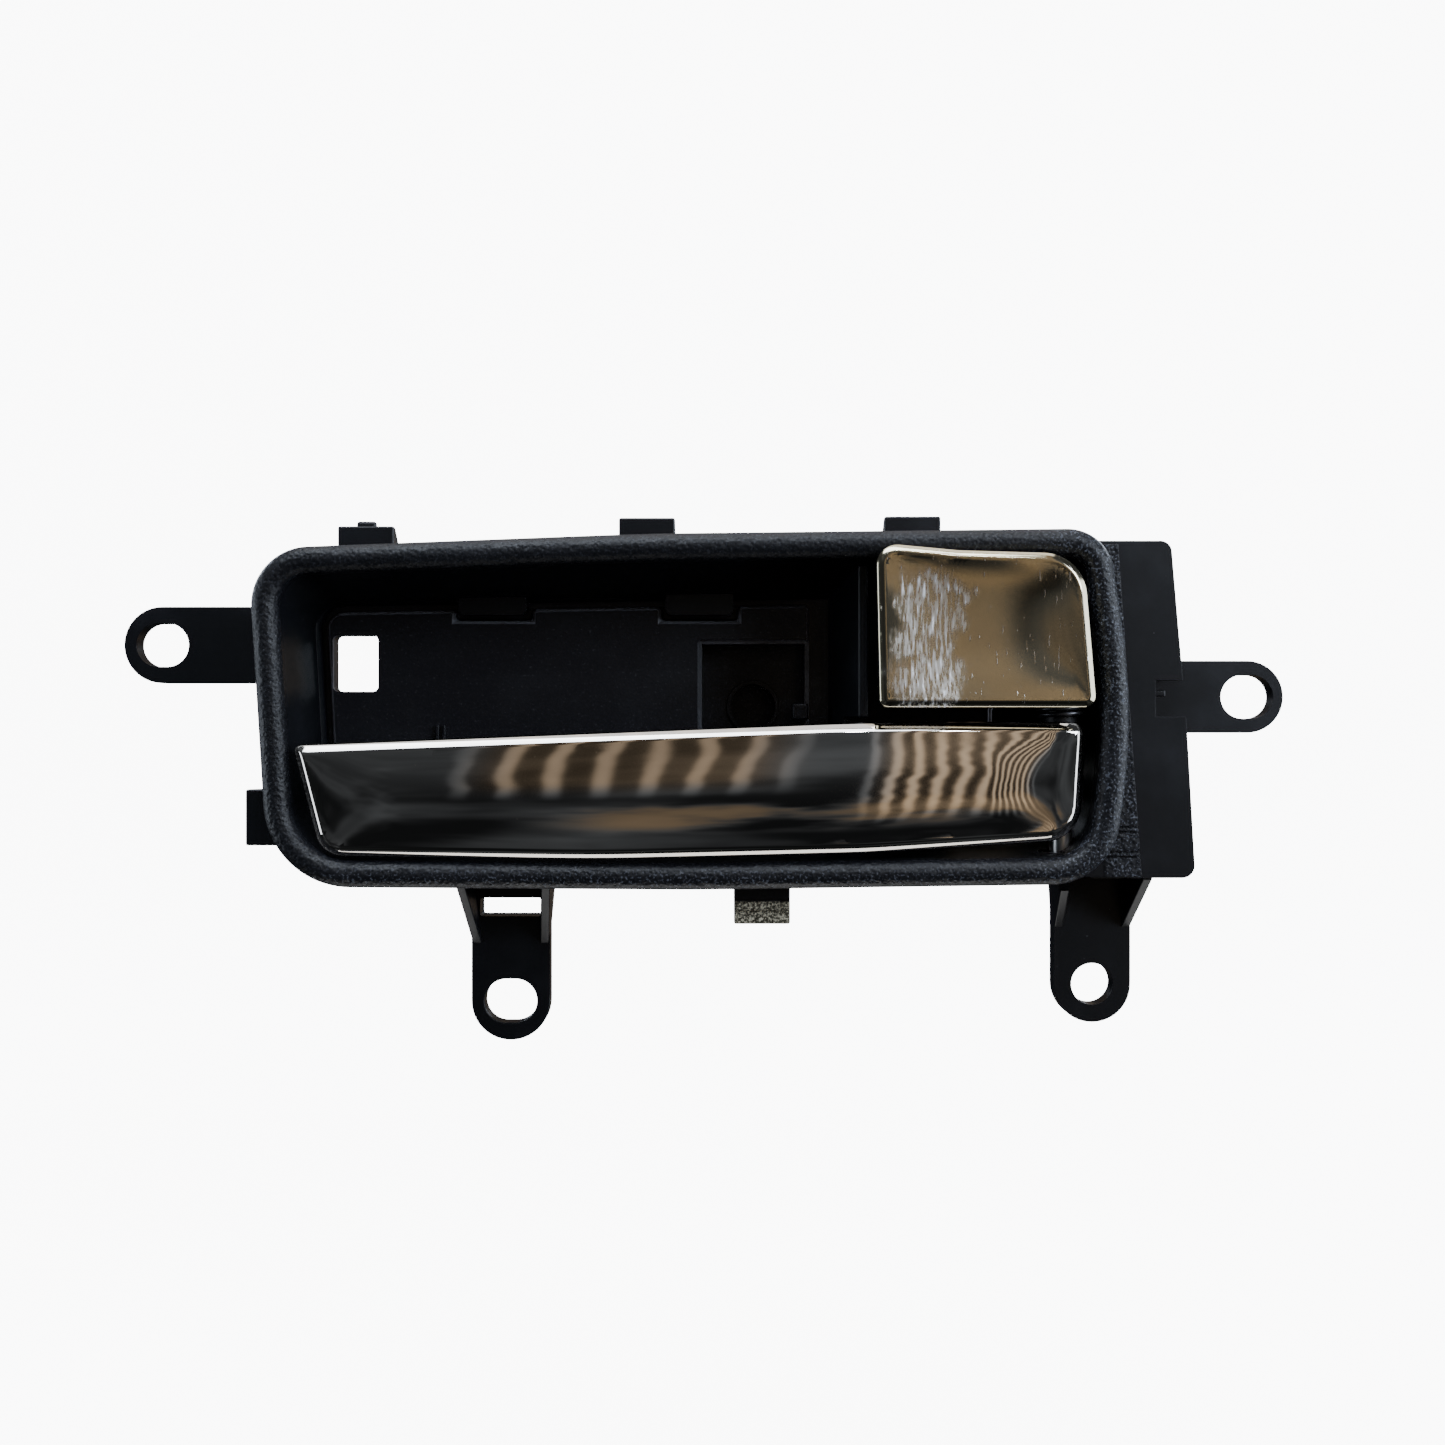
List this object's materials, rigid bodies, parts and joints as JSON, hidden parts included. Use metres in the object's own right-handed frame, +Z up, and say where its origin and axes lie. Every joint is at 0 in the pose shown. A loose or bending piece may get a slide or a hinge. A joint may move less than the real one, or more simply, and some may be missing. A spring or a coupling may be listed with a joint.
{
  "type": "interior door handle",
  "caption": "Interior door handle for a car: a black bezel with screw tabs and snap hooks, a hinged chrome release lever and a hinged chrome lock knob.",
  "frame": {"origin": "centre of the bezel, in the plane where the rim's back meets the door trim", "axes": "+X along the lever towards its hinge, +Y into the door, +Z up"},
  "size_m": [0.2123, 0.0388, 0.0942],
  "materials": {
    "housing_plastic": "grained on the rim, satin inside",
    "floor_plastic": "satin, finely speckled",
    "carrier_plastic": "moulded satin",
    "chrome": "mirror, worn with fine scratches on the knob",
    "pin_steel": "ground",
    "spring_steel": "drawn wire and strip",
    "bracket_steel": "zinc plated sheet",
    "screw_steel": "zinc plated",
    "nylon": "natural nylon",
    "rubber": "moulded"
  },
  "bodies": {
    "housing": {"housing": "housing_plastic", "recess_floor": "floor_plastic", "pivot_pin": "pin_steel", "pin_clip": "spring_steel", "bush_upper": "nylon", "bush_lower": "nylon", "hub_spacer": "nylon", "return_spring": "spring_steel", "lock_detent_spring": "spring_steel", "cable_bracket": "bracket_steel", "bracket_screw_lower": "screw_steel", "bracket_screw_upper": "screw_steel", "lever_bump_stop": "rubber", "lock_bump_stop": "rubber"},
    "lever": {"lever_shell": "chrome", "lever_core": "carrier_plastic", "shell_screw_left": "screw_steel", "shell_screw_right": "screw_steel", "lever_cable_clip": "nylon"},
    "lock": {"lock_cap": "chrome", "lock_core": "carrier_plastic", "lock_cable_clip": "nylon"}
  },
  "joints": [
    {"name": "lever_hinge", "type": "hinge", "parent": "housing", "child": "lever", "pos_m": [0.0645, 0.0043, 0], "axis": [0, 0, 1], "range_deg": [0, 25], "stiffness_Nm_per_rad": 0.4, "springref_deg": -28.65, "deforming": ["return_spring"]},
    {"name": "lock_hinge", "type": "hinge", "parent": "housing", "child": "lock", "pos_m": [0.0645, 0.0043, 0], "axis": [0, 0, 1], "range_deg": [0, 15], "deforming": ["lock_detent_spring"]}
  ]
}
